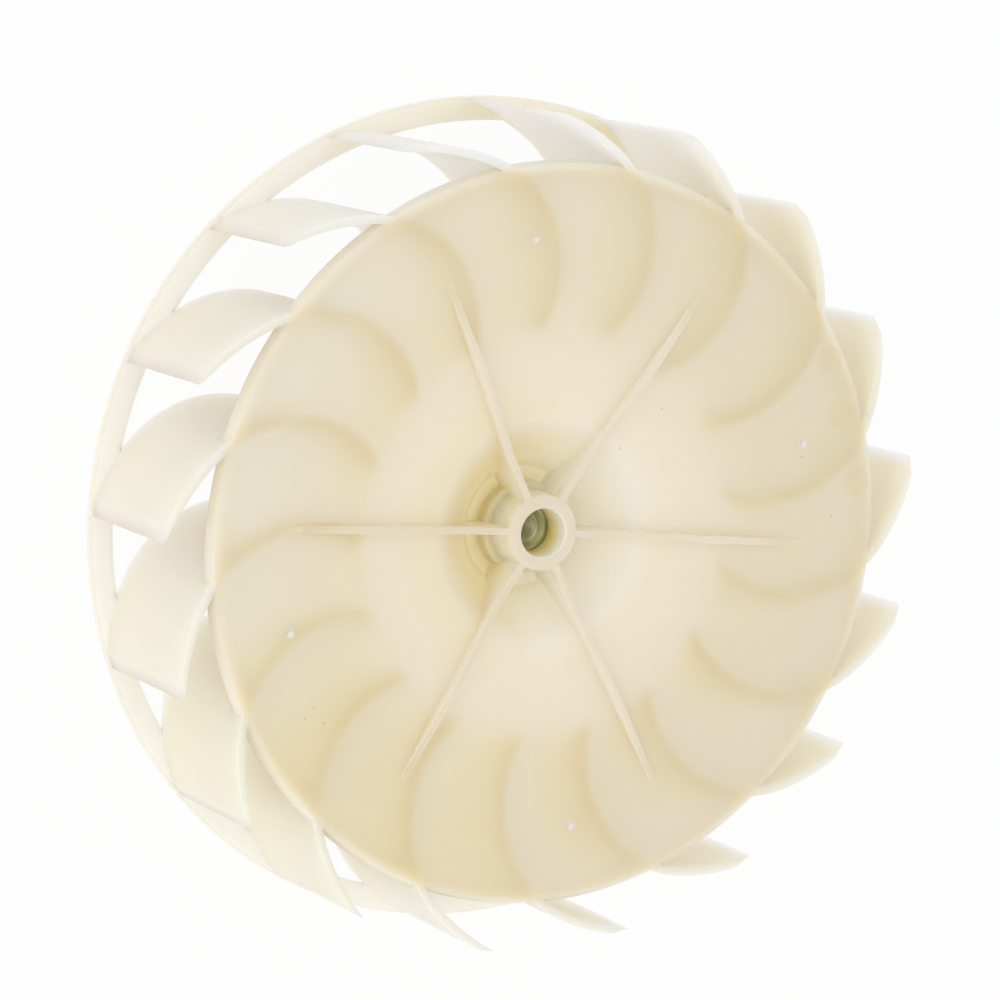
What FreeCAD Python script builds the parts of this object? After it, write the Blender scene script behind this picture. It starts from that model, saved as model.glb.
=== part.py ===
import FreeCAD, Part
import math
import os

# Blower wheel of a clothes dryer: one plastic moulding round a threaded steel insert.
# Millimetres. The wheel lies on its inlet ring, its axis is Z and its motor side looks up (+Z).

# Overall form
wheel_diameter = 203.0  # outside of the inlet ring
wheel_height = 44.6  # resting face of the ring to the top of the plate's rim

# Inlet ring
ring_width = 5.8
ring_thickness = 2.0

# Plate: a funnel round the hub, a shallow cone, then a flat margin with a deeper rim
plate_wall = 2.0
rim_setback = 12.2  # the rim's outside, in from the ring's outer edge
rim_depth = 4.0
rim_width = 3.6
rim_rounding = 1.8
margin_width = 10.6  # from the rim's outside to where the cone would meet the flat margin
cone_angle = 8.5
cone_blend = 60.0
funnel_angle = 41.0
funnel_blend = 18.0
crease_radius = 14.9  # foot of the funnel, where it drops to the floor
crease_height = 27.0
floor_radius = 14.3
floor_height = 25.4

# Hub
hub_top_height = 38.8
hub_top_radius = 9.15
hub_base_radius = 9.6
hub_edge_rounding = 1.0
collar_radius = 11.2
collar_height = 29.6
boss_end_height = 14.5  # inlet-side end of the hub
boss_end_radius = 10.6
bore_mouth_radius = 5.95
bore_seat_radius = 5.55
small_rounding = 0.5

# Steel insert, moulded into the hub
insert_top_height = 29.8
insert_across_flats = 12.7
insert_groove_radius = 5.75
insert_groove_width = 2.4
thread_bore_radius = 3.3
thread_mouth_radius = 4.9

# Ribs between the hub and the plate
rib_count = 6
rib_thickness = 1.6
rib_hub_height = 38.2
rib_level_radius = 20.3  # level as far as here, then rising
rib_rise_radius = 43.0  # rising as far as here, then almost level
rib_rise_height = 42.6
rib_end_setback = 8.7  # where the rib's edge runs out, in from the top of the cone
rib_edge_rounding = 20.0

# Blades, each of one thickness inside and thinning towards its tip
blade_count = 17
first_blade_angle = 14.3
tip_setback = 0.6  # tips inside the ring's outer edge
tip_corner_rounding = 1.2
blade_thickness = 2.0
blade_tip_thickness = 1.3
blade_exit_angle = 18.9  # between the blade and the rim's tangent at the tip
outer_arc_radius = 47.8
outer_arc_sweep = 22.6
inner_arc_radius = 30.3
inner_arc_sweep = 101.6
blade_overrun = 8.0  # extra sweep past the tip, trimmed off by the tip cylinder
blade_end_height = 1.0  # inlet-side ends, set into the ring
leading_edge_radius = 49.0
leading_edge_height = 20.0  # upright above this height, sloping below it
leading_edge_run = 12.0  # how far the slope reaches outwards

# Gate marks: where the plastic was fed in
gate_setback = 18.0  # in from the rim's outside
gate_offset_angle = 40.0  # to each side of the first rib and of the one opposite
gate_diameter = 1.7
gate_sides = 8  # the plastic was snapped off there, so it isn't quite round
gate_stand = 0.7

# How a rounding is made: small and shallow ones as flats, which keep the facets few
true_arc = 0
one_flat = 1
two_flats = 2

ring_radius = wheel_diameter / 2
tip_radius = ring_radius - tip_setback
rim_radius = ring_radius - rim_setback
cone_outer_radius = rim_radius - margin_width
rib_end_radius = cone_outer_radius - rib_end_setback
gate_radius = rim_radius - gate_setback
hub_wall_middle = (hub_top_radius + bore_mouth_radius) / 2
axis = FreeCAD.Vector(0, 0, 1)
centre = FreeCAD.Vector(0, 0, 0)


def direction(angle):
    """Unit vector in the XY plane at an angle in degrees."""
    return FreeCAD.Vector(math.cos(math.radians(angle)), math.sin(math.radians(angle)), 0)


def corner_points(before, corner, after, rounding):
    """Start, middle and end of the rounding of a corner."""
    back = (before - corner).normalize()
    on = (after - corner).normalize()
    half = back.getAngle(on) / 2
    reach = rounding / math.tan(half)
    middle = corner + (back + on).normalize() * (rounding / math.sin(half) - rounding)
    return corner + back * reach, middle, corner + on * reach


def rounding_edges(start, middle, end, form):
    """The edges of one rounding, in the form asked for."""
    if form == true_arc:
        return [Part.Arc(start, middle, end).toShape()]
    if form == one_flat:
        return Part.makePolygon([start, end]).Edges
    return Part.makePolygon([start, middle, end]).Edges


def rounded_outline(corners):
    """Closed face in the XZ plane through (radius, height) corners, the last of them sharp.

    A corner that is rounded adds its rounding and the form of it.
    """
    places = [FreeCAD.Vector(corner[0], 0, corner[1]) for corner in corners]
    edges = []
    ends = [places[-1]]
    for index, (radius, height, *rounding) in enumerate(corners):
        if not rounding:
            edges.append(Part.LineSegment(ends[-1], places[index]).toShape())
            ends.append(places[index])
            continue
        after = places[(index + 1) % len(places)]
        start, middle, end = corner_points(places[index - 1], places[index], after, rounding[0])
        edges.append(Part.LineSegment(ends[-1], start).toShape())
        edges += rounding_edges(start, middle, end, rounding[1])
        ends.append(end)
    return Part.Face(Part.Wire(edges))


def turned(corners):
    """Solid turned about the wheel's axis from an outline's corners."""
    return rounded_outline(corners).revolve(centre, axis, 360)


def cone_surface_height(radius, depth):
    """Height of the cone's surface, or of one parallel to it at a depth below."""
    slope = math.radians(cone_angle)
    return wheel_height - (cone_outer_radius - radius) * math.tan(slope) - depth / math.cos(slope)


def dish_corners(depth):
    """Corners of the plate's top surface, or of one at a depth below it, from the funnel outwards."""
    steep = math.radians(funnel_angle)
    slope = math.radians(cone_angle)
    funnel_at_axis = crease_height - crease_radius * math.tan(steep) - depth / math.cos(steep)
    bend = (cone_surface_height(0, depth) - funnel_at_axis) / (math.tan(steep) - math.tan(slope))
    flat = cone_outer_radius + depth * (1 / math.cos(slope) - 1) / math.tan(slope)
    return (bend, cone_surface_height(bend, depth)), (flat, wheel_height - depth)


def funnel_foot(depth, height):
    """Radius at which the funnel's surface at a depth comes down to a height."""
    steep = math.radians(funnel_angle)
    return crease_radius + (height - crease_height + depth / math.cos(steep)) / math.tan(steep)


def plate_and_hub():
    """The turned part of the moulding: hub, floor, funnel, cone, margin and rim."""
    bend, flat = dish_corners(0)
    bend_below, flat_below = dish_corners(plate_wall)
    floor_below = floor_height - plate_wall
    rim_inside = rim_radius - rim_width
    rim_below = wheel_height - rim_depth
    return turned([
        (bore_mouth_radius, hub_top_height, small_rounding, one_flat),
        (hub_top_radius, hub_top_height, hub_edge_rounding, two_flats),
        (hub_base_radius, collar_height),
        (collar_radius, collar_height, small_rounding, one_flat),
        (collar_radius, floor_height),
        (floor_radius, floor_height),
        (crease_radius, crease_height),
        (*bend, funnel_blend, true_arc),
        (*flat, cone_blend, two_flats),
        (rim_radius, wheel_height, rim_rounding, two_flats),
        (rim_radius, rim_below),
        (rim_inside, rim_below),
        (rim_inside, wheel_height - plate_wall),
        flat_below,
        bend_below,
        (funnel_foot(plate_wall, floor_below), floor_below),
        (collar_radius, floor_below),
        (boss_end_radius, boss_end_height, small_rounding, one_flat),
        (bore_seat_radius, boss_end_height),
        (bore_seat_radius, insert_top_height),
    ])


def inlet_ring():
    """Flat ring that ties the blades together on the inlet side."""
    inside = ring_radius - ring_width
    return turned([
        (inside, 0),
        (ring_radius, 0),
        (ring_radius, ring_thickness),
        (inside, ring_thickness),
    ])


def rib_room():
    """Space over the middle of the plate's wall, which the ribs stand in."""
    depth = plate_wall / 2
    bend, flat = dish_corners(depth)
    floor = floor_height - depth
    return turned([
        (hub_wall_middle, floor),
        (funnel_foot(depth, floor), floor),
        bend,
        flat,
        (rim_radius - rim_width, wheel_height - depth),
        (rim_radius - rim_width, 2 * wheel_height),
        (hub_wall_middle, 2 * wheel_height),
    ])


def ribs():
    """Upright webs from the hub, running out on the cone."""
    run_out_height = cone_surface_height(rib_end_radius, 0)
    outline = rounded_outline([
        (hub_wall_middle, 0),
        (rib_end_radius, 0),
        (rib_end_radius, run_out_height),
        (rib_rise_radius, rib_rise_height, rib_edge_rounding, true_arc),
        (rib_level_radius, rib_hub_height, rib_edge_rounding, true_arc),
        (hub_wall_middle, rib_hub_height),
    ])
    outline.translate(FreeCAD.Vector(0, -rib_thickness / 2, 0))
    web = outline.extrude(FreeCAD.Vector(0, rib_thickness, 0)).common(rib_room())
    return [web.rotated(centre, axis, index * 360 / rib_count) for index in range(rib_count)]


def arc_about(middle, radius, start, sweep):
    """Edge on a circle, from a start angle through a sweep, in degrees."""
    points = [middle + direction(start + sweep * share) * radius for share in (0, 0.5, 1)]
    return Part.Arc(*points).toShape()


def blade_section():
    """Plan of a blade: two arcs on the bulging side and two on the hollow side."""
    tip_angle = -blade_exit_angle
    join_angle = tip_angle - outer_arc_sweep
    end_angle = join_angle - inner_arc_sweep
    tip = FreeCAD.Vector(tip_radius, 0, 0)
    outer_middle = tip - direction(tip_angle) * outer_arc_radius
    inner_middle = outer_middle + direction(join_angle) * (outer_arc_radius - inner_arc_radius)
    hollow_radius = inner_arc_radius - blade_thickness
    fall = 1 - math.cos(math.radians(outer_arc_sweep))
    thinning = blade_thickness - blade_tip_thickness
    outer_hollow_radius = outer_arc_radius - blade_thickness + thinning / fall
    hollow_middle = inner_middle + direction(join_angle) * (hollow_radius - outer_hollow_radius)
    long_sweep = outer_arc_sweep + blade_overrun
    bulging_outer = arc_about(outer_middle, outer_arc_radius, tip_angle + blade_overrun, -long_sweep)
    bulging_inner = arc_about(inner_middle, inner_arc_radius, join_angle, -inner_arc_sweep)
    hollow_inner = arc_about(inner_middle, hollow_radius, end_angle, inner_arc_sweep)
    hollow_outer = arc_about(hollow_middle, outer_hollow_radius, join_angle, long_sweep)
    inner_end = Part.LineSegment(bulging_inner.lastVertex().Point, hollow_inner.firstVertex().Point)
    outer_end = Part.LineSegment(hollow_outer.lastVertex().Point, bulging_outer.firstVertex().Point)
    edges = [bulging_outer, bulging_inner, inner_end.toShape(), hollow_inner, hollow_outer]
    return Part.Face(Part.Wire(edges + [outer_end.toShape()]))


def blade_room():
    """Space that the blades fill: under the plate's middle, out to the tips, down into the ring."""
    depth = plate_wall / 2
    bend, flat = dish_corners(depth)
    step_radius = rim_radius - rim_width / 2
    return turned([
        (leading_edge_radius + leading_edge_run, blade_end_height),
        (tip_radius, blade_end_height),
        (tip_radius, wheel_height, tip_corner_rounding, two_flats),
        (step_radius, wheel_height),
        (step_radius, wheel_height - depth),
        flat,
        (leading_edge_radius, cone_surface_height(leading_edge_radius, depth)),
        (leading_edge_radius, leading_edge_height),
    ])


def blades():
    """All the blades, evenly spaced round the axis."""
    blade = blade_section().extrude(axis * wheel_height).common(blade_room())
    step = 360 / blade_count
    return [blade.rotated(centre, axis, first_blade_angle - index * step) for index in range(blade_count)]


def gate_marks():
    """Small nubs left where the plastic was fed into the mould."""
    foot = cone_surface_height(gate_radius, plate_wall / 2)
    height = cone_surface_height(gate_radius, 0) + gate_stand - foot
    turns = [index * 360 / gate_sides for index in range(gate_sides + 1)]
    stub = Part.Face(Part.makePolygon([direction(turn) * gate_diameter / 2 for turn in turns]))
    stub = stub.extrude(axis * height)
    places = [opposite + side * gate_offset_angle for opposite in (0, 180) for side in (-1, 1)]
    return [stub.translated(direction(place) * gate_radius + axis * foot) for place in places]


def insert_outside():
    """Outer form of the insert: hexagon bar with a groove that the plastic fills."""
    corner_radius = insert_across_flats / 2 / math.cos(math.radians(30))
    points = [direction(60 * index) * corner_radius for index in range(7)]
    bar = Part.Face(Part.makePolygon(points)).extrude(axis * (insert_top_height - boss_end_height))
    bar.translate(axis * boss_end_height)
    groove_bottom = (boss_end_height + insert_top_height - insert_groove_width) / 2
    groove_place = axis * groove_bottom
    groove = Part.makeCylinder(insert_across_flats, insert_groove_width, groove_place)
    core = Part.makeCylinder(insert_groove_radius, insert_groove_width, groove_place)
    return bar.cut(groove.cut(core))


def hub_insert():
    """Steel insert with its threaded hole, opened out at the motor side."""
    hole = turned([
        (0, boss_end_height),
        (thread_bore_radius, boss_end_height),
        (thread_bore_radius, insert_top_height - thread_mouth_radius + thread_bore_radius),
        (thread_mouth_radius, insert_top_height),
        (0, insert_top_height),
    ])
    return insert_outside().cut(hole)


def wheel_moulding():
    """The whole plastic wheel, with the insert's place cut out of the hub."""
    pieces = [inlet_ring()] + ribs() + blades() + gate_marks()
    return plate_and_hub().multiFuse(pieces).removeSplitter().cut(insert_outside())


def write(name, shape):
    """Saves one piece as parts/NAME.step."""
    solid = shape.Solids[0] if len(shape.Solids) == 1 else shape
    print(name, "solids", len(shape.Solids), "valid", shape.isValid(), "cm3", round(shape.Volume / 1000, 2))
    solid.exportStep(os.path.join("parts", name + ".step"))


os.makedirs("parts", exist_ok=True)
write("wheel_moulding", wheel_moulding())
write("hub_insert", hub_insert())
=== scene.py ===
import math

import bmesh
import bpy
from mathutils import Euler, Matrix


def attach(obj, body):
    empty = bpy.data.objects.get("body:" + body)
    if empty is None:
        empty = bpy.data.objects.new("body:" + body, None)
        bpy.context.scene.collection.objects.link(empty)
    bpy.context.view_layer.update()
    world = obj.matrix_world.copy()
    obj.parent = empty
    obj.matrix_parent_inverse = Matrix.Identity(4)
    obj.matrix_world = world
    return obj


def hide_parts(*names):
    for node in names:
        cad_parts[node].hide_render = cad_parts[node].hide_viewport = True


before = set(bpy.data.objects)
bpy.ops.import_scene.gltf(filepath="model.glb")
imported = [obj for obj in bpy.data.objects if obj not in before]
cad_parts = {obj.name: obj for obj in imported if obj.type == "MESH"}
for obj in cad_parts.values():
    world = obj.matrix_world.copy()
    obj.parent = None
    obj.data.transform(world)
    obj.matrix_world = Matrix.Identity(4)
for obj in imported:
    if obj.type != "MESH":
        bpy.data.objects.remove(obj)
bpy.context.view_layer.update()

mm = 0.001
white = (1, 1, 1, 1)

# Sizes of the wheel that its finish follows, in millimetres and degrees
cone_edge_radius = 78.7
cone_angle = 8.5
plate_height = 44.6
rim_radius = 89.3

# Blades behind the plate: the arc of their bulging side, in the plan of the blade whose tip
# is at angle 0
blade_count = 17
first_blade_angle = 14.3
blade_arc_radius = 30.3
blade_arc_middle_radius = 68.9
blade_arc_middle_angle = 3.2
blade_inner_radius = 49.0
blade_thickness = 1.6

# Their shade on the plate. It may begin at the lead, an angle before the blade's arc, in the
# hollow or behind the bulge; facing is 1 where the arc faces the side that the blades lean to.
shade_least_radius = 45.0
shade_softness = 1.6
shade_fade = 21.0
shade_falloff = 1.4
shade_hollow_lead = 3
shade_bulge_lead = 13
shade_least_facing = 0.33
shade_facing = (-0.35, 0.25)
shade_starts = (blade_inner_radius - 2.0, blade_inner_radius + 3.5)
shade_ends = (rim_radius - 10.0, rim_radius)
shade_at_rim = 0.7
shade_strength = 0.72
shade_clouding = 0.25

# Gate stubs, at this place in each quarter of the plate
gate_radius = 71.3
gate_angle = 40.0
gate_top_height = 44.66
gate_base_depth = 0.45
gate_stub_radius = 0.95
gate_stub_height = 0.32
gate_stub_taper = 0.55
gate_tear = 0.3
gate_tear_scale = 1600.0
gate_seed = 4.0
gate_blush_edge = (0.9, 1.6)
gate_blush_share = 0.8

# Faint discs where the mould's ejector pins met the plate: radius and angle
pin_marks = ((84.7, 332.4), (82.6, 323.0), (84.2, 310.7))
pin_mark_edge = (3.3, 3.7)
pin_mark_share = 0.35

# Brown specks in the plate: radius and angle. Others lie at chance places.
plate_specks = (
    (70.4, 317.5), (77.1, 305.2), (75.8, 155.7), (72.5, 155.2), (72.2, 158.9),
    (55.3, 180.5), (26.1, 306.7), (42.4, 347.2), (28.7, 346.7),
)
plate_speck_edge = (0.15, 0.38)
chance_speck_edge = (0.15, 0.35)
chance_speck_margin = 0.1
speck_share = 0.4

# Threaded insert
insert_top = 29.8
insert_bottom = 14.5
insert_across_flats = 12.7
insert_chamfer = 0.25
insert_groove_radius = 5.75
insert_groove_bottom = 20.95
insert_groove_top = 23.35
insert_sides = 72
mouth_radius = 4.9
bottom_mouth_radius = 4.3
thread_root_radius = 3.85
thread_crest_radius = 3.3
thread_pitch = 1.06
thread_bottom = insert_bottom + 0.7
thread_top = insert_top - 1.3
thread_overlap = 0.02
thread_half_foot = 0.46
thread_half_crest = 0.08
thread_resolution = 48

# Skins: points nearer than the weld, in metres, become one; edges above the angle stay sharp
wheel_weld = 0.000002
wheel_sharp_angle = 32
insert_sharp_angle = 30

# Directions in plan: where the blades lean to, as seen through the plate, and where the
# colour changes
lean_side = (-0.59, 0.81, 0)
# The clear side faces the lamp: there the blades and the ring are painted lighter, as light, and
# the ribs darker, as shade. On the pale side the plate's outer part is painted lighter, as light,
# and the hub's dish amber, as shade. Blades on the glowing side are painted glowing. On the yellow
# side the colours are yellower.
sides = {
    "clear": (-0.75, 0.66, 0),
    "pale": (-0.34, 0.94, 0),
    "yellow": (-0.98, 0.20, 0),
    "glowing": (0.75, 0.66, 0),
}

# How the wheel's look passes from one state to the next. Each passage has the value that it
# follows, that value's two ends, and the share at each end, which is 0 and 1 unless given.
# Radii, heights and the height over the plate are in millimetres; upward is 1 where the surface
# faces up; clear, pale, yellow and glowing are 1 on that side of the wheel.
falling = (1.0, 0.0)
passages = {
    "near_plate": ("from_plate", 0.25, 0.6, *falling),
    "facing_up": ("upward", 0.5, 0.8),
    "inside_rim": ("radius", rim_radius - 1.5, rim_radius + 0.2, *falling),
    "past_middle": ("radius", 42.0, 56.0),
    "outer_plate": ("radius", 50.0, 86.0),
    "yellower_plate": ("yellow", 0.6, 1.0),
    "pale_plate": ("pale", 0.6, 1.0, 0.0, 0.7),
    "pale_rim": ("radius", rim_radius - 3.0, rim_radius - 0.8, 0.0, 0.9),
    "golden_shade": ("yellow", 0.55, 0.95),
    "on_rib": ("over_plate", 0.3, 0.6),
    "off_rib": ("over_plate", 0.3, 0.6, *falling),
    "rib_start": ("radius", 10.0, 14.0),
    "shaded_rib": ("clear", -0.2, 0.8),
    "rib_side": ("upward", 0.25, 0.65, 0.75, 0.0),
    "shaded_side": ("pale", -0.5, 0.5, 0.1, 1.0),
    "near_hub": ("radius", 9.0, 33.0, *falling),
    "hub_foot": ("height", 31.0, 38.5, 1.0, 0.03),
    "past_hub": ("radius", 9.3, 11.5, 0.35, 1.0),
    "dish_start": ("radius", 15.0, 20.0, 0.0, 0.55),
    "dish_end": ("radius", 24.0, 44.0, *falling),
    "dish_side": ("pale", -0.3, 0.7),
    "hub_wall": ("radius", 8.9, 9.1),
    "hub_wall_end": ("radius", 9.8, 11.0, *falling),
    "hub_wall_foot": ("height", 29.5, 33.0),
    "hub_wall_top": ("height", 33.5, 37.5, 1.0, 0.3),
    "in_bore": ("radius", 6.0, 6.5, 0.9, 0.0),
    "bore_depth": ("height", 31.0, 38.0, *falling),
    "hub_base": ("height", 27.5, 29.3, *falling),
    "hub_base_end": ("radius", 15.0, 17.0, *falling),
    "clear_blades": ("clear", -1.1, 0.4),
    "blade_tips": ("radius", 84.0, 98.0, *falling),
    "lit_blades": ("clear", -0.3, 0.6),
    "golden_blades": ("yellow", 0.82, 1.0, 0.0, 0.6),
    "glowing_blades": ("glowing", 0.72, 1.0, 0.0, 0.85),
    "clear_ring": ("clear", -0.6, 0.6),
    "ring_edge": ("radius", 100.6, 101.2),
    "above_ring": ("height", 2.2, 6.0),
    "beyond_rim": ("radius", rim_radius - 0.3, rim_radius + 1.5),
    "below_plate": ("over_plate", -9.0, -4.0, *falling),
    "blade_inlet": ("radius", 44.0, 52.0),
    "upper_side": ("over_plate", -0.8, -0.3),
}

# The painted light on the funnel round the hub ends at this radius, less the drop on the shaded
# side
funnel_start = 11.0
funnel_end = 34.0
funnel_end_drop = 16.0
funnel_share = 0.85
hub_base_least = 0.3
clear_blade_heights = (8.0, 28.0)

# Surface of the plastic: the clouds and turning marks in millimetres, the scatter in metres.
# A roughness is what the pattern adds, and what it adds to.
cloud_size = 26.0
cloud_tint = 0.07
fine_cloud_size = 3.5
fine_cloud_tint = 0.03
fine_cloud_roughness = 0.10
plastic_mark_spacing = 0.9
plastic_roughness = (0.08, 0.32)
plastic_ior = 1.49
scatter_reach = 0.012
scatter_radii = (1.0, 0.92, 0.8)
scatter_forward = 0.4

# Surface of the torn gate stubs
torn_cloud_size = 0.6
torn_cloud_tint = 0.35
torn_roughness = (0.2, 0.5)
torn_bump = {"Strength": 0.8, "Distance": 0.0001}

# Surface of the insert
steel_mark_spacing = 0.16
steel_cloud_size = 2.5
steel_cloud_tint = 0.5
steel_roughness = (0.15, 0.3)
steel_bump = {"Strength": 0.5, "Distance": 0.00003}
steel_tarnish = 0.7
# Painted light on the insert's face, lighter towards the plastic's wall where the corner lies in
# shade
lit_steel_edge_start = (5.3, 5.8)
lit_steel_edge_share = 0.9

# Stage, in metres
floor_half = 4.0
floor_height = -0.0002
floor_grey = (0.9, 0.9, 0.9, 1)
floor_white_seen = 0.95
floor_white_lighting = 0.86
surroundings_lighting = 0.87
lamp_size = 0.9
lamp_energy = 2.6
lamp_place = (-0.86, 0.80, 0.62)
lens_length = 163.55
camera_place = (-0.144429, 0.522470, 0.976580)
camera_turn = (-9.7754, -27.8357, -53.8346)

# Colours, linear
natural_plastic = (0.830, 0.700, 0.520, 1)
middle_plastic = (0.790, 0.680, 0.542, 1)
pale_plastic = (0.885, 0.785, 0.630, 1)
yellower_plastic = (0.820, 0.680, 0.475, 1)
rib_plastic = (0.742, 0.643, 0.480, 1)
shaded_rib_plastic = (0.710, 0.598, 0.420, 1)
deep_plastic = (0.762, 0.610, 0.392, 1)
golden_plastic = (0.775, 0.615, 0.362, 1)
amber_shade_plastic = (0.998, 0.828, 0.500, 1)
lit_funnel_plastic = (0.998, 0.902, 0.710, 1)
hub_base_shade_plastic = (0.900, 0.745, 0.465, 1)
dish_shade_plastic = (0.735, 0.590, 0.385, 1)
ring_plastic = (0.912, 0.842, 0.725, 1)
yellow_ring_plastic = (0.868, 0.758, 0.562, 1)
edge_plastic = (0.808, 0.710, 0.550, 1)
clear_blade_plastic = (0.880, 0.782, 0.612, 1)
lit_blade_plastic = (0.998, 0.918, 0.752, 1)
lit_bore_plastic = (0.985, 0.890, 0.715, 1)
bore_shade_plastic = (0.995, 0.760, 0.330, 1)
lit_hub_wall_plastic = (0.950, 0.880, 0.660, 1)
glowing_blade_plastic = (0.965, 0.920, 0.850, 1)
shaded_blade_plastic = (0.850, 0.745, 0.555, 1)
golden_blade_plastic = (0.930, 0.805, 0.560, 1)
torn_plastic = (0.90, 0.85, 0.77, 1)
brown_speck = (0.33, 0.20, 0.09, 1)
turned_steel = (0.51, 0.52, 0.36, 1)
lit_steel_edge = (0.93, 0.94, 0.70, 1)


# Node building

def put(tree, socket, value):
    """Links a socket to another node's output, or sets it to a plain value."""
    if isinstance(value, bpy.types.NodeSocket):
        tree.links.new(value, socket)
    else:
        socket.default_value = value


def add(tree, kind, inputs=None, **settings):
    """Adds a node with its settings and inputs, and returns it."""
    node = tree.nodes.new(kind)
    for name, value in settings.items():
        setattr(node, name, value)
    for name, value in (inputs or {}).items():
        put(tree, node.inputs[name], value)
    return node


def reckon(tree, operation, *values, clamp=False):
    """A Math node's result."""
    numbered = dict(enumerate(values))
    node = add(tree, "ShaderNodeMath", numbered, operation=operation, use_clamp=clamp)
    return node.outputs[0]


def product(tree, result, *others):
    """Several values multiplied."""
    for other in others:
        result = reckon(tree, "MULTIPLY", result, other)
    return result


def vector_node(tree, operation, values):
    """A Vector Math node with its values in their order."""
    numbered = dict(enumerate(values))
    return add(tree, "ShaderNodeVectorMath", numbered, operation=operation)


def vector(tree, operation, *values):
    """A Vector Math node's vector."""
    return vector_node(tree, operation, values).outputs[0]


def measure(tree, operation, *values):
    """A Vector Math node's number: a length, a distance or a dot product."""
    return vector_node(tree, operation, values).outputs["Value"]


def scaled_vector(tree, value, scale):
    """A vector times a number."""
    inputs = {0: value, "Scale": scale}
    return add(tree, "ShaderNodeVectorMath", inputs, operation="SCALE").outputs[0]


def seen_from_above(tree, place):
    """A place brought down to the plan, and its radius."""
    flat = vector(tree, "MULTIPLY", place, (1, 1, 0))
    return flat, measure(tree, "LENGTH", flat)


def ramp_between(tree, value, low, high, at_low=0.0, at_high=1.0):
    """Smooth step of a value from one result to another."""
    inputs = {
        "Value": value, "From Min": low, "From Max": high, "To Min": at_low, "To Max": at_high,
    }
    node = add(tree, "ShaderNodeMapRange", inputs, interpolation_type="SMOOTHSTEP")
    return node.outputs["Result"]


def blend_colours(tree, share, first, second):
    """Mixes two colours by a share."""
    node = add(tree, "ShaderNodeMix", data_type="RGBA", clamp_factor=True)
    put(tree, node.inputs[0], share)
    put(tree, node.inputs[6], first)
    put(tree, node.inputs[7], second)
    return node.outputs[2]


def laid_over(tree, colour, *layers):
    """A colour with others laid over it in turn, each by its share."""
    for share, over in layers:
        colour = blend_colours(tree, share, colour, over)
    return colour


def new_group(name, inputs, outputs, kind="ShaderNodeTree"):
    """Node group with named sockets: its tree, its input node's outputs and its output
    node's inputs."""
    tree = bpy.data.node_groups.new(name, kind)
    for label, form, value in inputs:
        socket = tree.interface.new_socket(label, in_out="INPUT", socket_type=form)
        if value is not None:
            socket.default_value = value
    for label, form in outputs:
        tree.interface.new_socket(label, in_out="OUTPUT", socket_type=form)
    source = tree.nodes.new("NodeGroupInput")
    result = tree.nodes.new("NodeGroupOutput")
    return tree, source.outputs, result.inputs


def use_group(tree, group, **inputs):
    """Places a shader group in a material, with its own values, and returns its output."""
    node = tree.nodes.new("ShaderNodeGroup")
    node.node_tree = group
    for name, value in inputs.items():
        put(tree, node.inputs[name], value)
    return node.outputs[0]


vector_socket = "NodeSocketVector"
number_socket = "NodeSocketFloat"
geometry_socket = "NodeSocketGeometry"
material_socket = "NodeSocketMaterial"


def mottle_group():
    """Cloudy unevenness of a moulded or plated surface, from 0 to 1."""
    tree, given, result = new_group(
        "mottle",
        [("Position", vector_socket, None), ("Size", number_socket, 20.0)],
        [("Value", number_socket)],
    )
    scale = reckon(tree, "DIVIDE", 1.0, given["Size"])
    inputs = {"Vector": given["Position"], "Scale": scale, "Detail": 0.0}
    noise = add(tree, "ShaderNodeTexNoise", inputs).outputs["Fac"]
    put(tree, result["Value"], ramp_between(tree, noise, 0.3, 0.7))
    return tree


def turning_marks_group():
    """Fine rings round the wheel's axis, left by the lathe on the mould or on the metal."""
    tree, given, result = new_group(
        "turning_marks",
        [("Position", vector_socket, None), ("Spacing", number_socket, 0.8)],
        [("Height", number_socket)],
    )
    flat, radius = seen_from_above(tree, given["Position"])
    turns = reckon(tree, "DIVIDE", radius, given["Spacing"])
    inputs = {"W": turns, "Scale": 1.0, "Detail": 0.0}
    uneven = add(tree, "ShaderNodeTexNoise", inputs, noise_dimensions="1D").outputs["Fac"]
    wave = reckon(tree, "SINE", product(tree, turns, 2 * math.pi))
    height = product(tree, wave, uneven)
    put(tree, result["Height"], reckon(tree, "MULTIPLY_ADD", height, 0.5, 0.5))
    return tree


def specks_group():
    """Sparse dark specks in the plastic, each well under a millimetre across, at most one
    to a cell."""
    tree, given, result = new_group(
        "specks",
        [
            ("Position", vector_socket, None),
            ("Spacing", number_socket, 14.0),
            ("Share", number_socket, 0.2),
        ],
        [("Mask", number_socket)],
    )
    cells_per_mm = reckon(tree, "DIVIDE", 1.0, given["Spacing"])
    scaled = scaled_vector(tree, given["Position"], cells_per_mm)
    cell = vector(tree, "FLOOR", scaled)
    within = vector(tree, "FRACTION", scaled)
    luck = add(tree, "ShaderNodeTexWhiteNoise", {"Vector": cell}, noise_dimensions="3D").outputs
    room = (1 - 2 * chance_speck_margin,) * 3
    middle = vector(tree, "MULTIPLY_ADD", luck["Color"], room, (chance_speck_margin,) * 3)
    away = product(tree, measure(tree, "DISTANCE", within, middle), given["Spacing"])
    chosen = reckon(tree, "LESS_THAN", luck["Value"], given["Share"])
    inside = ramp_between(tree, away, *chance_speck_edge, *falling)
    put(tree, result["Mask"], product(tree, inside, chosen))
    return tree


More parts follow.
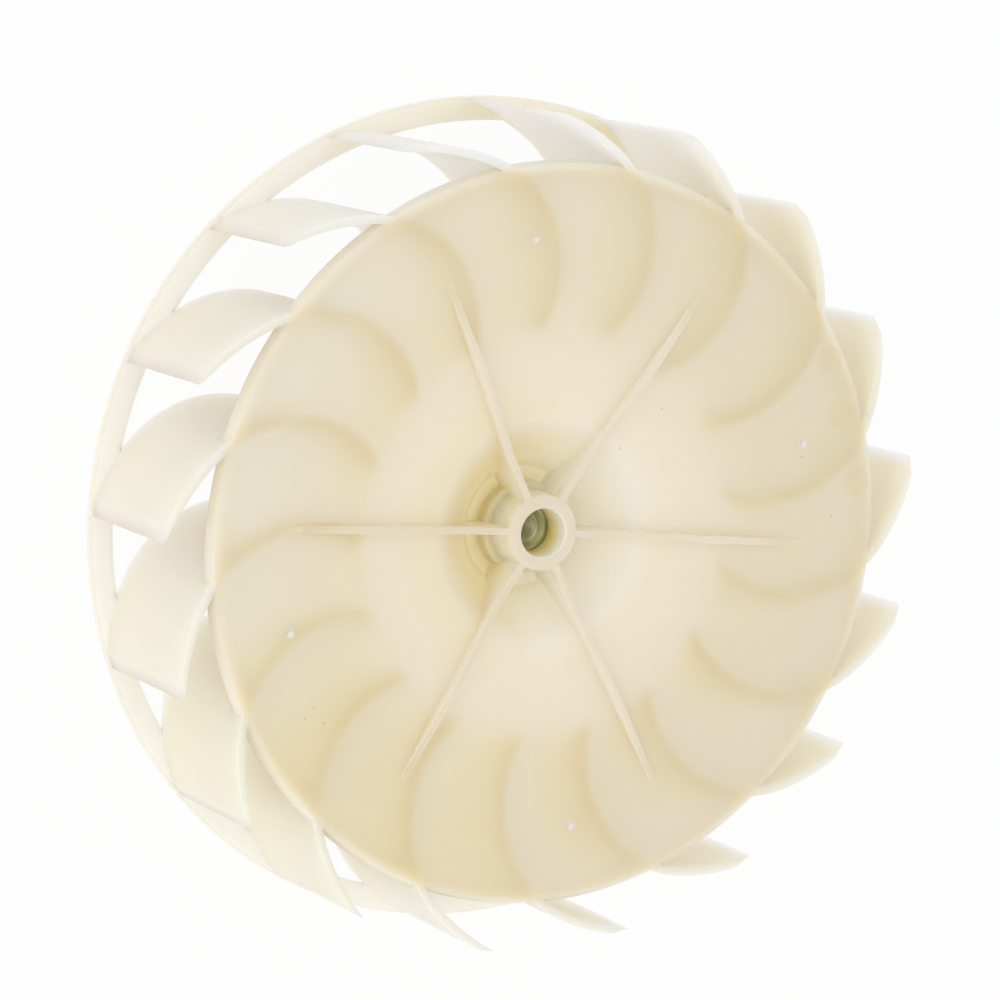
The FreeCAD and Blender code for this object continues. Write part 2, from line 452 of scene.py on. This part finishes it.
def blade_shade_group():
    """Painted shade where the blades show through the plate.

    A blade stands below the plate and leans, as seen, to one side, so its shade lies in its
    hollow where the hollow faces that side, and behind its bulge where it faces away."""
    tree, given, result = new_group(
        "blade_shade",
        [
            ("Position", vector_socket, None),
            ("Softness", number_socket, shade_softness),
            ("Fade", number_socket, shade_fade),
        ],
        [("Mask", number_socket)],
    )
    flat, radius = seen_from_above(tree, given["Position"])
    radius = reckon(tree, "MAXIMUM", radius, shade_least_radius)
    parts = add(tree, "ShaderNodeSeparateXYZ", {"Vector": flat}).outputs
    around = reckon(tree, "ARCTAN2", parts["Y"], parts["X"])
    middle = blade_arc_middle_radius
    both = product(tree, radius, 2 * middle)
    far = reckon(tree, "MULTIPLY_ADD", radius, radius, middle ** 2)
    cosine = reckon(tree, "DIVIDE", reckon(tree, "SUBTRACT", far, blade_arc_radius ** 2), both)
    opening = reckon(tree, "ARCCOSINE", cosine)
    first = math.radians(first_blade_angle + blade_arc_middle_angle - 360)
    turned = reckon(tree, "SUBTRACT", reckon(tree, "ADD", around, opening), first)
    step = math.radians(360 / blade_count)
    rise_start = product(tree, given["Softness"], -1.0)
    shades = []
    for lead_angle, side in ((shade_hollow_lead, 1), (shade_bulge_lead, -1)):
        lead = math.radians(lead_angle)
        past = reckon(tree, "FLOORED_MODULO", reckon(tree, "ADD", turned, lead), step)
        local = reckon(tree, "SUBTRACT", reckon(tree, "SUBTRACT", past, lead), opening)
        beside = product(tree, both, reckon(tree, "COSINE", local))
        from_middle = reckon(tree, "SQRT", reckon(tree, "SUBTRACT", far, beside))
        depth = reckon(tree, "SUBTRACT", blade_arc_radius, from_middle)
        middle_angle = reckon(tree, "SUBTRACT", around, local)
        arc_middle = add(tree, "ShaderNodeCombineXYZ", {
            "X": product(tree, reckon(tree, "COSINE", middle_angle), middle),
            "Y": product(tree, reckon(tree, "SINE", middle_angle), middle),
        }).outputs[0]
        inward = vector(tree, "SUBTRACT", arc_middle, flat)
        facing = measure(tree, "DOT_PRODUCT", inward, lean_side)
        facing = product(tree, reckon(tree, "DIVIDE", facing, from_middle), side)
        if side < 0:
            depth = reckon(tree, "SUBTRACT", blade_thickness, depth)
        reach = reckon(tree, "MAXIMUM", facing, shade_least_facing)
        reach = product(tree, reach, given["Fade"])
        rise = ramp_between(tree, depth, rise_start, given["Softness"])
        fall = reckon(tree, "SUBTRACT", 1.0, reckon(tree, "DIVIDE", depth, reach), clamp=True)
        fall = reckon(tree, "POWER", fall, shade_falloff)
        share = product(tree, rise, ramp_between(tree, facing, *shade_facing))
        shades.append(product(tree, fall, share))
    starts = ramp_between(tree, radius, *shade_starts)
    ends = ramp_between(tree, radius, *shade_ends, 1.0, shade_at_rim)
    along = product(tree, starts, ends)
    shade = reckon(tree, "MAXIMUM", *shades)
    put(tree, result["Mask"], reckon(tree, "MULTIPLY", along, shade, clamp=True))
    return tree


mottle = mottle_group()
turning_marks = turning_marks_group()
specks = specks_group()
blade_shade = blade_shade_group()


# Materials

def blank_material(name):
    """Empty material with its tree and its output's surface socket."""
    material = bpy.data.materials.new(name)
    material.use_nodes = True
    tree = material.node_tree
    tree.nodes.clear()
    return material, tree, add(tree, "ShaderNodeOutputMaterial").inputs["Surface"]


def new_material(name):
    """Material with its tree, its Principled shader, and its place in millimetres."""
    material, tree, surface = blank_material(name)
    shader = add(tree, "ShaderNodeBsdfPrincipled")
    put(tree, surface, shader.outputs["BSDF"])
    place = add(tree, "ShaderNodeTexCoord").outputs["Object"]
    return material, tree, shader, scaled_vector(tree, place, 1 / mm)


def turned_point(radius, angle):
    """Point at this radius and angle round the wheel's axis."""
    turn = math.radians(angle)
    return radius * math.cos(turn), radius * math.sin(turn), 0


def near_spots(tree, flat, spots, inner, outer):
    """1 within the inner radius of any of the spots, 0 beyond the outer one. Each spot is a
    radius and an angle."""
    away = None
    for spot in spots:
        reach = measure(tree, "DISTANCE", flat, turned_point(*spot))
        away = reckon(tree, "MINIMUM", away, reach) if away else reach
    return ramp_between(tree, away, inner, outer, *falling)


def wheel_values(tree, place, flat, radius):
    """The values that the wheel's passages follow."""
    normal = add(tree, "ShaderNodeTexCoord").outputs["Normal"]
    height = add(tree, "ShaderNodeSeparateXYZ", {"Vector": place}).outputs["Z"]
    inside = reckon(tree, "SUBTRACT", cone_edge_radius, radius)
    slope = math.tan(math.radians(cone_angle))
    drop = product(tree, reckon(tree, "MAXIMUM", inside, 0.0), slope)
    over_plate = reckon(tree, "SUBTRACT", height, reckon(tree, "SUBTRACT", plate_height, drop))
    outward = vector(tree, "NORMALIZE", flat)
    values = {
        name: measure(tree, "DOT_PRODUCT", outward, side) for name, side in sides.items()
    }
    values.update(
        radius=radius,
        height=height,
        upward=add(tree, "ShaderNodeSeparateXYZ", {"Vector": normal}).outputs["Z"],
        over_plate=over_plate,
        from_plate=reckon(tree, "ABSOLUTE", over_plate),
    )
    return values


def plate_colour(tree, place, share, cloud, fine_cloud):
    """Colour of the plate, with the blades' painted shade, and of its ribs."""
    shade = product(
        tree,
        use_group(tree, blade_shade, Position=place),
        reckon(tree, "MULTIPLY_ADD", cloud, shade_clouding, shade_strength),
        product(tree, share["near_plate"], share["facing_up"], share["inside_rim"]),
    )
    fine_tint = product(tree, fine_cloud, fine_cloud_tint)
    tint = reckon(tree, "MULTIPLY_ADD", cloud, cloud_tint, fine_tint)
    # Painted light: the plate's outer part is paler on the pale side. The plate is also paler
    # towards the rim's edge all round.
    paler = product(tree, share["pale_plate"], share["outer_plate"])
    deep_colour = blend_colours(tree, share["golden_shade"], deep_plastic, golden_plastic)
    # The ribs on the clear side are painted darker, as shade.
    rib_colour = laid_over(
        tree, rib_plastic,
        (share["shaded_rib"], shaded_rib_plastic),
        (share["rib_side"], pale_plastic),
    )
    # Painted shade: the plate is darker inside the blades' ring, against the light that passes
    # through where no blade stands below.
    return laid_over(
        tree, middle_plastic,
        (share["past_middle"], natural_plastic),
        # The plate's outer part is yellower on the yellow side.
        (product(tree, share["yellower_plate"], share["outer_plate"]), yellower_plastic),
        (reckon(tree, "MAXIMUM", paler, share["pale_rim"]), pale_plastic),
        (reckon(tree, "ADD", shade, tint, clamp=True), deep_colour),
        (product(tree, share["on_rib"], share["rib_start"]), rib_colour),
    )


def with_hub_colours(tree, radius, share, colour):
    """The plate's colour, with painted light and shade round the hub: light on the funnel, amber
    shade at the hub's foot, shade in the dish, light on the hub's side and in its bore, and shade
    deep in the bore and round the hub's base."""
    shaded_side = share["shaded_side"]
    # Painted light: the funnel round the hub is lighter, and reaches further where its wall faces
    # the lamp.
    end = reckon(tree, "MULTIPLY_ADD", shaded_side, -funnel_end_drop, funnel_end)
    funnel = ramp_between(tree, radius, funnel_start, end, funnel_share, 0.0)
    funnel = product(tree, funnel, share["off_rib"])
    # Painted shade: amber at the hub's foot, where the dish's wall faces away from the lamp.
    hub_shade = product(
        tree, share["near_hub"], share["hub_foot"], shaded_side, share["past_hub"])
    dish_shade = product(
        tree, share["dish_start"], share["dish_end"], share["dish_side"], share["off_rib"])
    # Painted light on the hub's side wall.
    hub_wall_light = product(
        tree, share["hub_wall"], share["hub_wall_end"],
        share["hub_wall_foot"], share["hub_wall_top"])
    # Painted shade round the hub's base, weaker where the dish's wall faces the lamp.
    base_side = reckon(tree, "MULTIPLY_ADD", shaded_side, 1 - hub_base_least, hub_base_least)
    hub_base_shade = product(tree, share["hub_base"], share["hub_base_end"], base_side)
    # Painted light in the bore, and painted amber shade deeper down in it.
    bore_light_and_shade = blend_colours(tree, share["bore_depth"], lit_bore_plastic, bore_shade_plastic)
    return laid_over(
        tree, colour,
        (funnel, lit_funnel_plastic),
        (hub_shade, amber_shade_plastic),
        (dish_shade, dish_shade_plastic),
        (hub_wall_light, lit_hub_wall_plastic),
        (share["in_bore"], bore_light_and_shade),
        (hub_base_shade, hub_base_shade_plastic),
    )


def with_blade_colours(tree, height, share, colour):
    """The plate's colour, with those of the blades beyond and below it, and of the ring. The
    blades carry painted light and shade: darker and warmer high up under the plate, lighter low
    down and on the clear side, painted lit towards their inner ends there, golden on the yellow
    side and painted glowing on the glowing side. The ring is painted lighter on the clear side
    and is darker on its outer wall.
    """
    clear = ramp_between(tree, height, *clear_blade_heights, 1.0, share["clear_blades"])
    blade_colour = laid_over(
        tree, shaded_blade_plastic,
        (clear, clear_blade_plastic),
        (product(tree, share["blade_tips"], share["lit_blades"]), lit_blade_plastic),
        (share["golden_blades"], golden_blade_plastic),
        (share["glowing_blades"], glowing_blade_plastic),
    )
    # The ring is painted lighter on the clear side, as light.
    ring_colour = laid_over(
        tree, yellow_ring_plastic,
        (share["clear_ring"], ring_plastic),
        (share["ring_edge"], edge_plastic),
    )
    blade_colour = blend_colours(tree, share["above_ring"], ring_colour, blade_colour)
    below_plate = product(tree, share["below_plate"], share["blade_inlet"])
    off_plate = reckon(tree, "MAXIMUM", share["beyond_rim"], below_plate)
    return blend_colours(tree, off_plate, colour, blade_colour)


def with_spots(tree, place, flat, upper_side, colour):
    """The wheel's colour, with its specks, its whitened gates and the pins' discs."""
    named = near_spots(tree, flat, plate_specks, *plate_speck_edge)
    chance = use_group(tree, specks, Position=place)
    speck = reckon(tree, "MAXIMUM", chance, product(tree, named, upper_side))
    quarter = vector(tree, "ABSOLUTE", flat)
    blush = near_spots(tree, quarter, [(gate_radius, gate_angle)], *gate_blush_edge)
    discs = near_spots(tree, flat, pin_marks, *pin_mark_edge)
    return laid_over(
        tree, colour,
        (product(tree, speck, speck_share), brown_speck),
        (product(tree, blush, upper_side, gate_blush_share), torn_plastic),
        (product(tree, discs, upper_side, pin_mark_share), deep_plastic),
    )


def wheel_plastic():
    """Natural plastic of the wheel, with the blades showing through its plate."""
    material, tree, shader, place = new_material("natural_plastic")
    flat, radius = seen_from_above(tree, place)
    values = wheel_values(tree, place, flat, radius)
    share = {
        name: ramp_between(tree, values[followed], *ends)
        for name, (followed, *ends) in passages.items()
    }
    cloud = use_group(tree, mottle, Position=place, Size=cloud_size)
    fine_cloud = use_group(tree, mottle, Position=place, Size=fine_cloud_size)
    colour = plate_colour(tree, place, share, cloud, fine_cloud)
    colour = with_hub_colours(tree, radius, share, colour)
    colour = with_blade_colours(tree, values["height"], share, colour)
    colour = with_spots(tree, place, flat, share["upper_side"], colour)

    marks = use_group(tree, turning_marks, Position=place, Spacing=plastic_mark_spacing)
    roughness = reckon(tree, "MULTIPLY_ADD", marks, *plastic_roughness)
    roughness = reckon(tree, "MULTIPLY_ADD", fine_cloud, fine_cloud_roughness, roughness)
    put(tree, shader.inputs["Base Color"], colour)
    put(tree, shader.inputs["Roughness"], roughness)
    shader.inputs["IOR"].default_value = plastic_ior
    shader.inputs["Subsurface Weight"].default_value = 1.0
    shader.inputs["Subsurface Scale"].default_value = scatter_reach
    shader.inputs["Subsurface Radius"].default_value = scatter_radii
    shader.inputs["Subsurface Anisotropy"].default_value = scatter_forward
    return material


def gate_plastic():
    """Torn plastic of the gate stubs, whitened where it was snapped off."""
    material, tree, shader, place = new_material("torn_plastic")
    cloud = use_group(tree, mottle, Position=place, Size=torn_cloud_size)
    tint = product(tree, cloud, torn_cloud_tint)
    bump = add(tree, "ShaderNodeBump", {**torn_bump, "Height": cloud}).outputs["Normal"]
    put(tree, shader.inputs["Base Color"], blend_colours(tree, tint, torn_plastic, natural_plastic))
    put(tree, shader.inputs["Roughness"], reckon(tree, "MULTIPLY_ADD", cloud, *torn_roughness))
    put(tree, shader.inputs["Normal"], bump)
    shader.inputs["IOR"].default_value = plastic_ior
    return material


def insert_steel():
    """Zinc-plated steel with the lathe's rings on its faces, and painted light on its face's outer
    ring by the plastic's wall.
    """
    material, tree, shader, place = new_material("plated_steel")
    marks = use_group(tree, turning_marks, Position=place, Spacing=steel_mark_spacing)
    cloud = use_group(tree, mottle, Position=place, Size=steel_cloud_size)
    flat, radius = seen_from_above(tree, place)
    lit_edge = ramp_between(tree, radius, *lit_steel_edge_start, 0.0, lit_steel_edge_share)
    tarnished = tuple(channel * steel_tarnish for channel in turned_steel[:3]) + (1,)
    colour = laid_over(
        tree, turned_steel,
        (product(tree, cloud, steel_cloud_tint), tarnished),
        (lit_edge, lit_steel_edge),
    )
    bump = add(tree, "ShaderNodeBump", {**steel_bump, "Height": marks}).outputs["Normal"]
    put(tree, shader.inputs["Base Color"], colour)
    put(tree, shader.inputs["Roughness"], reckon(tree, "MULTIPLY_ADD", cloud, *steel_roughness))
    put(tree, shader.inputs["Normal"], bump)
    shader.inputs["Metallic"].default_value = 1.0
    return material


# Pieces

def new_object(name, data):
    """Links data to the scene as a new object."""
    made = bpy.data.objects.new(name, data)
    bpy.context.scene.collection.objects.link(made)
    return made


def new_mesh(name, built):
    """Mesh of what was built, which is then let go."""
    mesh = bpy.data.meshes.new(name)
    built.to_mesh(mesh)
    built.free()
    return mesh


def new_piece(name, mesh, material, slot, *nodes):
    """Links a finished mesh as a piece of the wheel, standing for the nodes that are named."""
    piece = new_object(name, mesh)
    mesh.materials.clear()
    mesh.materials.append(material)
    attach(piece, "root")
    if nodes:
        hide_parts(*nodes)
    return piece


def moulded_wheel(material):
    """The moulding, joined to one skin, so that its roundings shade smoothly."""
    skin = bmesh.new()
    skin.from_mesh(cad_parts["wheel_moulding"].data)
    bmesh.ops.remove_doubles(skin, verts=skin.verts, dist=wheel_weld)
    mesh = new_mesh("moulded_wheel", skin)
    stale = mesh.attributes.get("custom_normal")
    if stale:
        mesh.attributes.remove(stale)
    mesh.shade_smooth()
    mesh.set_sharp_from_angle(angle=math.radians(wheel_sharp_angle))
    piece = new_piece("moulded_wheel", mesh, material, "polypropylene", "wheel_moulding")
    evened = piece.modifiers.new("even_shading", "WEIGHTED_NORMAL")
    evened.keep_sharp = True
    evened.weight = 80


def outline(height, radius_at):
    """Points of the insert's outline at a height, in metres, from its radius at each turn."""
    points = []
    for index in range(insert_sides):
        turn = 2 * math.pi * index / insert_sides
        radius = radius_at(turn)
        points.append((radius * math.cos(turn) * mm, radius * math.sin(turn) * mm, height * mm))
    return points


def circle_outline(radius, height):
    """Outline of a round part."""
    return outline(height, lambda turn: radius)


def hexagon_outline(height, trim=math.inf):
    """Outline of the hexagon bar, with its corners trimmed to a radius."""
    def radius_at(turn):
        from_flat = (turn % (math.pi / 3)) - math.pi / 6
        return min(insert_across_flats / 2 / math.cos(from_flat), trim)
    return outline(height, radius_at)


def insert_body():
    """Mesh of the insert: hexagon bar with its locking groove and its hole, open to the
    thread's root."""
    trimmed = insert_across_flats / 2 / math.cos(math.pi / 6) - insert_chamfer
    lower_root = insert_bottom + bottom_mouth_radius - thread_root_radius
    upper_root = insert_top - mouth_radius + thread_root_radius
    outlines = [
        circle_outline(mouth_radius, insert_top),
        hexagon_outline(insert_top, trimmed),
        hexagon_outline(insert_top - insert_chamfer),
        hexagon_outline(insert_groove_top),
        circle_outline(insert_groove_radius, insert_groove_top),
        circle_outline(insert_groove_radius, insert_groove_bottom),
        hexagon_outline(insert_groove_bottom),
        hexagon_outline(insert_bottom + insert_chamfer),
        hexagon_outline(insert_bottom, trimmed),
        circle_outline(bottom_mouth_radius, insert_bottom),
        circle_outline(thread_root_radius, lower_root),
        circle_outline(thread_root_radius, upper_root),
    ]
    body = bmesh.new()
    loops = [[body.verts.new(point) for point in points] for points in outlines]
    for below, above in zip(loops, loops[1:] + loops[:1]):
        for index in range(insert_sides):
            on = (index + 1) % insert_sides
            body.faces.new((below[index], above[index], above[on], below[on]))
    bmesh.ops.recalc_face_normals(body, faces=body.faces)
    return new_mesh("insert_body", body)


def finish_tree(tree, last, given, result):
    """Ends a Geometry Nodes tree with real geometry in its material."""
    real = add(tree, "GeometryNodeRealizeInstances", {"Geometry": last.outputs[0]})
    finished = add(tree, "GeometryNodeSetMaterial", {
        "Geometry": real.outputs[0], "Material": given["Material"],
    })
    put(tree, result["Geometry"], finished.outputs[0])


def thread_tree():
    """Geometry Nodes that sweep a ridge along the thread's spiral."""
    tree, given, result = new_group(
        "thread_ridge",
        [
            ("Geometry", geometry_socket, None),
            ("Root Radius", number_socket, thread_root_radius * mm),
            ("Crest Radius", number_socket, thread_crest_radius * mm),
            ("Pitch", number_socket, thread_pitch * mm),
            ("Bottom", number_socket, thread_bottom * mm),
            ("Top", number_socket, thread_top * mm),
            ("Material", material_socket, None),
        ],
        [("Geometry", geometry_socket)],
        kind="GeometryNodeTree",
    )
    tree.is_modifier = True
    length = reckon(tree, "SUBTRACT", given["Top"], given["Bottom"])
    spiral = add(tree, "GeometryNodeCurveSpiral", {
        "Resolution": thread_resolution,
        "Rotations": reckon(tree, "DIVIDE", length, given["Pitch"]),
        "Start Radius": given["Root Radius"],
        "End Radius": given["Root Radius"],
        "Height": length,
    })
    upright = add(tree, "GeometryNodeSetCurveNormal", {"Curve": spiral.outputs[0]}, mode="Z_UP")
    depth = reckon(tree, "SUBTRACT", given["Root Radius"], given["Crest Radius"])
    half_foot = product(tree, given["Pitch"], thread_half_foot)
    half_crest = product(tree, given["Pitch"], thread_half_crest)
    corners = {}
    for name, across, height in (
        ("Point 1", 0.0, product(tree, half_foot, -1.0)),
        ("Point 2", depth, product(tree, half_crest, -1.0)),
        ("Point 3", depth, half_crest),
        ("Point 4", 0.0, half_foot),
    ):
        corner = add(tree, "ShaderNodeCombineXYZ", {"X": across, "Y": height})
        corners[name] = corner.outputs[0]
    profile = add(tree, "GeometryNodeCurvePrimitiveQuadrilateral", corners, mode="POINTS")
    swept = add(tree, "GeometryNodeCurveToMesh", {
        "Curve": upright.outputs[0], "Profile Curve": profile.outputs[0], "Fill Caps": True,
    })
    lift = add(tree, "ShaderNodeCombineXYZ", {"Z": given["Bottom"]}).outputs[0]
    lifted = add(tree, "GeometryNodeTransform", {
        "Geometry": swept.outputs[0], "Translation": lift,
    })
    finish_tree(tree, lifted, given, result)
    return tree


def gate_tree():
    """Geometry Nodes that stand a rough stub on each gate's place."""
    tree, given, result = new_group(
        "gate_stubs",
        [
            ("Geometry", geometry_socket, None),
            ("Radius", number_socket, gate_stub_radius * mm),
            ("Height", number_socket, gate_stub_height * mm),
            ("Roughness", number_socket, gate_tear * mm),
            ("Seed", number_socket, gate_seed),
            ("Material", material_socket, None),
        ],
        [("Geometry", geometry_socket)],
        kind="GeometryNodeTree",
    )
    tree.is_modifier = True
    stub = add(tree, "GeometryNodeMeshCone", {
        "Vertices": 20, "Side Segments": 4, "Fill Segments": 4,
        "Radius Bottom": given["Radius"],
        "Radius Top": product(tree, given["Radius"], gate_stub_taper),
        "Depth": given["Height"],
    })
    stood = add(tree, "GeometryNodeInstanceOnPoints", {
        "Points": given["Geometry"], "Instance": stub.outputs[0],
    })
    real = add(tree, "GeometryNodeRealizeInstances", {"Geometry": stood.outputs[0]})
    place = add(tree, "GeometryNodeInputPosition").outputs[0]
    noise = add(tree, "ShaderNodeTexNoise", {
        "Vector": place, "W": given["Seed"], "Scale": gate_tear_scale, "Detail": 2.0,
    }, noise_dimensions="4D")
    centred = vector(tree, "SUBTRACT", noise.outputs["Color"], (0.5, 0.5, 0.5))
    torn = add(tree, "GeometryNodeSetPosition", {
        "Geometry": real.outputs[0],
        "Offset": scaled_vector(tree, centred, given["Roughness"]),
    })
    finish_tree(tree, torn, given, result)
    return tree


def grown_mesh(name, start, tree, values):
    """Plain mesh that a Geometry Nodes tree makes from a start mesh."""
    carrier = new_object(name, start)
    modifier = carrier.modifiers.new(name, "NODES")
    modifier.node_group = tree
    for socket in tree.interface.items_tree:
        if socket.item_type == "SOCKET" and socket.in_out == "INPUT" and socket.name in values:
            modifier[socket.identifier] = values[socket.name]
    graph = bpy.context.evaluated_depsgraph_get()
    mesh = bpy.data.meshes.new_from_object(carrier.evaluated_get(graph))
    mesh.name = name
    carrier.modifiers.remove(modifier)
    bpy.data.objects.remove(carrier)
    return mesh


def threaded_insert(material):
    """The insert with its cut thread."""
    ridge = grown_mesh("thread_ridge", bpy.data.meshes.new("thread_start"), thread_tree(), {
        "Root Radius": (thread_root_radius + thread_overlap) * mm,
        "Crest Radius": thread_crest_radius * mm,
        "Pitch": thread_pitch * mm,
        "Bottom": thread_bottom * mm,
        "Top": thread_top * mm,
        "Material": material,
    })
    whole = bmesh.new()
    whole.from_mesh(insert_body())
    whole.from_mesh(ridge)
    mesh = new_mesh("threaded_insert", whole)
    mesh.shade_smooth()
    mesh.set_sharp_from_angle(angle=math.radians(insert_sharp_angle))
    new_piece("threaded_insert", mesh, material, "plated_steel", "hub_insert")


def gate_stubs(material):
    """Torn tops of the four gates."""
    height = (gate_top_height - gate_base_depth) * mm
    places = []
    for opposite in (0, 180):
        for side in (-1, 1):
            x, y, _ = turned_point(gate_radius, gate_angle * side + opposite)
            places.append((x * mm, y * mm, height))
    points = bpy.data.meshes.new("gate_places")
    points.from_pydata(places, [], [])
    mesh = grown_mesh("gate_stubs", points, gate_tree(), {"Material": material, "Seed": gate_seed})
    mesh.shade_smooth()
    new_piece("gate_stubs", mesh, material, "polypropylene")


# Stage

def looked_at(tree):
    """1 where the lens, a reflection or glass looks, and 0 where light falls."""
    path = add(tree, "ShaderNodeLightPath").outputs
    seen = reckon(tree, "MAXIMUM", path["Is Camera Ray"], path["Is Glossy Ray"])
    return reckon(tree, "MAXIMUM", seen, path["Is Transmission Ray"])


def floor():
    """White light table under the wheel, which keeps a faint shadow. It is whiter where it
    is looked at than where it lights the wheel."""
    material, tree, surface = blank_material("white_floor")
    grey = add(tree, "ShaderNodeBsdfDiffuse", {"Color": floor_grey}).outputs[0]
    lit = add(tree, "ShaderNodeEmission", {"Color": white, "Strength": 1.0}).outputs[0]
    share = ramp_between(
        tree, looked_at(tree), 0.0, 1.0, floor_white_lighting, floor_white_seen)
    put(tree, surface, add(tree, "ShaderNodeMixShader", {0: share, 1: grey, 2: lit}).outputs[0])
    material.cycles.emission_sampling = "NONE"

    quarters = ((-1, -1), (1, -1), (1, 1), (-1, 1))
    corners = [(x * floor_half, y * floor_half, floor_height) for x, y in quarters]
    mesh = bpy.data.meshes.new("floor")
    mesh.from_pydata(corners, [], [(0, 1, 2, 3)])
    mesh.materials.append(material)
    piece = new_object("floor", mesh)


def studio_light():
    """Even white surroundings, and a broad soft lamp from the picture's left."""
    world = bpy.data.worlds.new("studio")
    bpy.context.scene.world = world
    world.use_nodes = True
    tree = world.node_tree
    tree.nodes.clear()
    strength = ramp_between(tree, looked_at(tree), 0.0, 1.0, surroundings_lighting, 1.0)
    light = add(tree, "ShaderNodeBackground", {"Color": white, "Strength": strength})
    surface = add(tree, "ShaderNodeOutputWorld").inputs["Surface"]
    put(tree, surface, light.outputs[0])

    lamp = bpy.data.lights.new("left_soft_lamp", "AREA")
    lamp.shape = "SQUARE"
    lamp.size = lamp_size
    lamp.energy = lamp_energy
    holder = new_object("left_soft_lamp", lamp)
    holder.location = lamp_place
    holder.rotation_euler = holder.location.to_track_quat("Z", "Y").to_euler()


def camera():
    """Camera at the photograph's viewing angle."""
    lens = bpy.data.cameras.new("camera")
    lens.lens = lens_length
    lens.sensor_width = 36.0
    lens.clip_start = 0.05
    lens.clip_end = 20.0
    holder = new_object("camera", lens)
    holder.location = camera_place
    holder.rotation_euler = Euler([math.radians(turn) for turn in camera_turn], "XYZ")
    bpy.context.scene.camera = holder


camera()
floor()
studio_light()
moulded_wheel(wheel_plastic())
threaded_insert(insert_steel())
gate_stubs(gate_plastic())

bpy.context.scene.view_settings.view_transform = "Standard"
